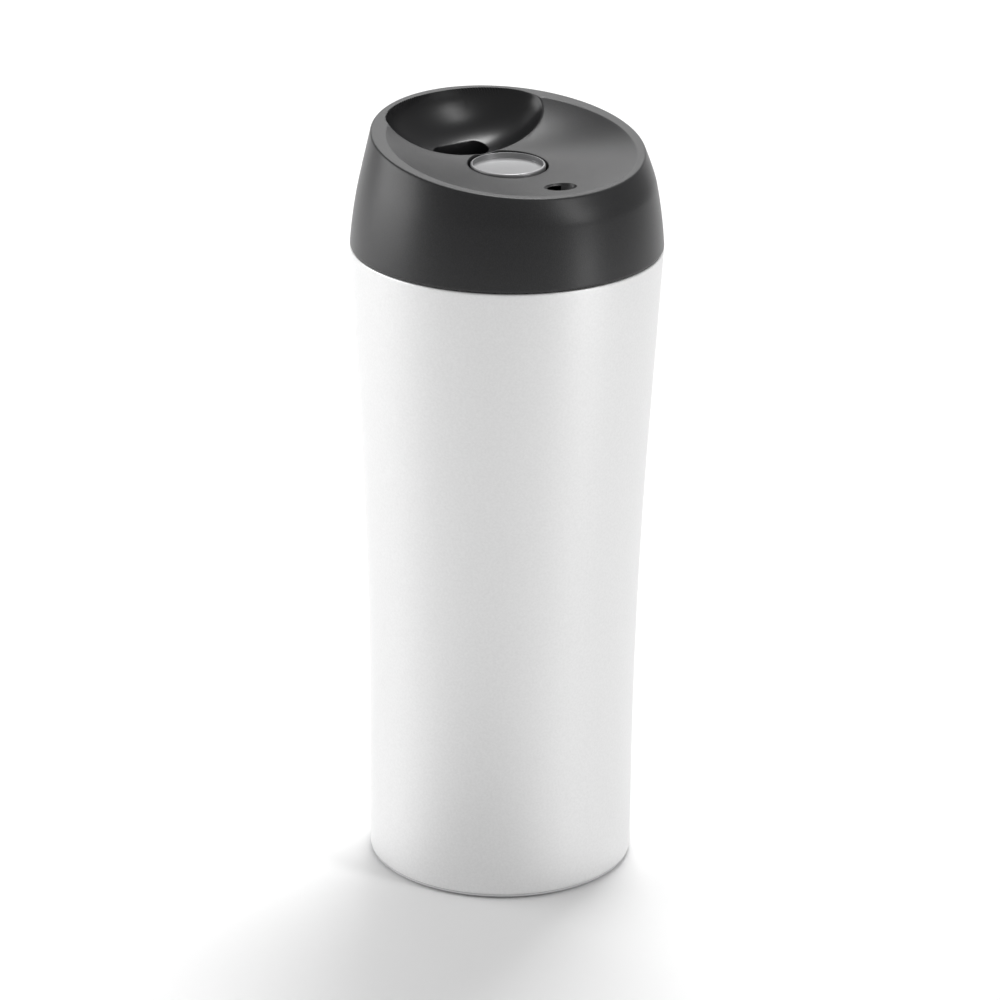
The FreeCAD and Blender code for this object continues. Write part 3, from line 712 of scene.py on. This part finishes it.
def dish_plan(lip_turns, lip_share, reach):
    """Plan points over dish and land, in rings that follow the land's edge, clear of bowl and vent."""
    rings = []
    radii = list(np.arange(WELL_RADIUS + 0.8, LAND_RADIUS - 0.9, 0.85))
    radii += [LAND_RADIUS + d for d in (-0.6, -0.35, -0.18, -0.06, 0.06, 0.18, 0.4)]
    for radius in radii:
        turn = even_turns(SPOKES if radius > 22 else SPOKES // 2)
        outward = np.clip((radius - 12) / 10, 0, 1)
        along = radius * np.cos(turn) - LAND_SHIFT * outward
        rings.append(np.column_stack([along * (1 - (1 - RIM_LEAN) * outward),
                                      radius * np.sin(turn)]))
    for radius in (33.2, 32.5):
        turn = even_turns(SPOKES)
        along = radius * np.cos(turn)
        ring = np.column_stack([along * RIM_LEAN, radius * np.sin(turn)])
        clear_of_edge = np.hypot(along + LAND_SHIFT, ring[:, 1]) > LAND_RADIUS + 0.7
        rings.append(ring[clear_of_edge])
    points = np.vstack(rings)
    turn = bowl_turn(points[:, 0], points[:, 1])
    limit = around(turn, lip_turns, lip_share) + 0.85 / around(turn, lip_turns, reach)
    points = points[bowl_share(points[:, 0], points[:, 1]) > limit]
    near_vent = np.hypot(points[:, 0] + VENT_OFFSET, points[:, 1]) < VENT_RADIUS + 0.7
    return points[~near_vent]


def lid_shell():
    """Whole lid moulding: side and rim, openings, filled top and ceiling."""
    shape = Shape()
    ceiling_edge, top_edge = lid_side(shape)
    well = hole_wall(shape, well_loop, WELL_EDGE, (0.3, 0.6, 1.0), (
        (0, WELL_EDGE_FOOT), (0, WELL_BOTTOM), (WELL_WALL, WELL_BOTTOM), (WELL_WALL, CEILING)), 0)
    slot = hole_wall(shape, slot_loop, SLOT_EDGE, (0.35, 0.7, 1.0), ((0, CEILING),), 1)
    vent = hole_wall(shape, vent_loop, VENT_EDGE, (0.35, 0.7, 1.0),
                     ((-VENT_TAPER, PASSAGE_ROOF),), 0)
    passage = vent_passage(shape, vent[-1])

    lip_turns = even_turns(BOWL_SPOKES)
    lip_share = bowl_lip(lip_turns)
    reach = np.hypot(BOWL_RADII[0] * np.cos(lip_turns), BOWL_RADII[1] * np.sin(lip_turns))
    free = np.vstack([
        dish_plan(lip_turns, lip_share, reach),
        bowl_plan(lip_turns, lip_share, reach),
        spread(slot_loop(0.6), 0.5),
        spread(slot_loop(0.4), 0.4),
        vent_loop(0.5),
    ])

    def glossy(centre):
        """Material slot: the bowl is glossier than the rest."""
        edge_share = around(bowl_turn(*centre), lip_turns, lip_share)
        return int(bowl_share(*centre) < edge_share)

    fill_plan(shape, [top_edge, well[0], slot[0], vent[0]], free, lid_height, glossy)
    fill_plan(shape, [ceiling_edge, well[-1], slot[-1], passage])
    piece = shape.build("lid_cover", [LID_MATTE, LID_GLOSS])
    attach(piece, "lid")
    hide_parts("lid_shell")


def button_cap():
    """Hollow push button with a shallow thumb recess."""
    low, high = box_mm("button_cap")
    radius = high.x
    floor = high.z - BUTTON_RECESS
    piece = lathe("push_button", rounded([
        (0, floor - BUTTON_FACE, 0),
        (radius - 1, floor - BUTTON_FACE, 0.3),
        (radius - 1, low.z, 0.15),
        (radius, low.z, 0.2),
        (radius, high.z, 0.5),
        (radius - 0.62, high.z, 0.06),
        (radius - 0.72, floor, 0.2),
        (0, floor, 0),
    ]), [SILVER], BUTTON_SPOKES, closed=False)
    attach(piece, "button")
    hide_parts("button_cap")


# ---------------------------------------------------------------- stage, in metres
VIEW_TURN = math.radians(-124)
CAMERA_PLACE = (-0.00105, -1.1413, 0.5483)
CAMERA_DOWN = 0.37549
CAMERA_ROLL = 0.01136
CAMERA_LENS = 170.0
SENSOR_WIDTH = 36
AMBIENT = 0.33
FLOOR_REACH_MM = 6000

# name: (right of the camera, away from it, up), (width, height), watts, height aimed at
LIGHTS = {
    "key_left": ((-1.45, 0.15, 0.42), (1.2, 0.8), 12, 0.1),
    "key_left_high": ((-1.2, 0.3, 1.2), (0.8, 0.7), 0.8, 0.1),
    "strip_right": ((1.22, -0.74, 0.98), (0.28, 1.0), 6.2, 0.1),
    "low_right": ((0.63, -0.40, 0.07), (0.18, 0.13), 0.46, 0.18),
    "overhead": ((0.15, 0.6, 1.45), (0.5, 0.4), 11, 0.1),
    "backdrop": ((0, 1.9, 0.45), (3.0, 0.8), 7.5, 0.1),
    "backdrop_high": ((0.1, 1.4, 1.1), (1.3, 0.5), 5, 0.1),
}


def seen_from_camera(place):
    """World position of a point given as (right, away, up) from the mug, as the camera looks."""
    return Matrix.Rotation(VIEW_TURN, 3, "Z") @ Vector(place)


def soft_box(name, place, size, watts, aim_height):
    """Rectangular studio light aimed at the mug's axis."""
    light = bpy.data.lights.new(name, "AREA")
    light.shape = "RECTANGLE"
    light.size, light.size_y = size
    light.energy = watts
    lamp = bpy.data.objects.new(name, light)
    lamp.location = seen_from_camera(place)
    aim = Vector((0, 0, aim_height)) - lamp.location
    lamp.rotation_euler = aim.to_track_quat("-Z", "Y").to_euler()
    bpy.context.scene.collection.objects.link(lamp)


def stage():
    """Pale floor, even world light, soft boxes and the camera at the photograph's angle."""
    floor = Shape()
    reach = FLOOR_REACH_MM
    floor.face(floor.ring([(-reach, -reach, 0), (reach, -reach, 0),
                           (reach, reach, 0), (-reach, reach, 0)]))
    pale = grain(new_material("pale_floor", (0.97, 0.97, 0.97), 0.7, 0, 0.2), 4, 0.02, 0.002)
    floor.build("floor", [pale])

    scene = bpy.context.scene
    scene.world = bpy.data.worlds.new("studio")
    scene.world.use_nodes = True
    sky = scene.world.node_tree.nodes["Background"]
    sky.inputs["Color"].default_value = (1, 1, 1, 1)
    sky.inputs["Strength"].default_value = AMBIENT
    for name, (place, size, watts, aim_height) in LIGHTS.items():
        soft_box(name, place, size, watts, aim_height)

    scene.view_settings.view_transform = "Standard"
    camera_data = bpy.data.cameras.new("camera")
    camera_data.lens = CAMERA_LENS
    camera_data.sensor_width = SENSOR_WIDTH
    camera = bpy.data.objects.new("camera", camera_data)
    camera.matrix_world = (Matrix.Translation(seen_from_camera(CAMERA_PLACE))
                           @ Matrix.Rotation(VIEW_TURN, 4, "Z")
                           @ Matrix.Rotation(math.pi / 2 - CAMERA_DOWN, 4, "X")
                           @ Matrix.Rotation(CAMERA_ROLL, 4, "Z"))
    scene.collection.objects.link(camera)
    scene.camera = camera


stage()
dress_nodes()
outer_shell()
base_parts()
lid_shell()
button_cap()
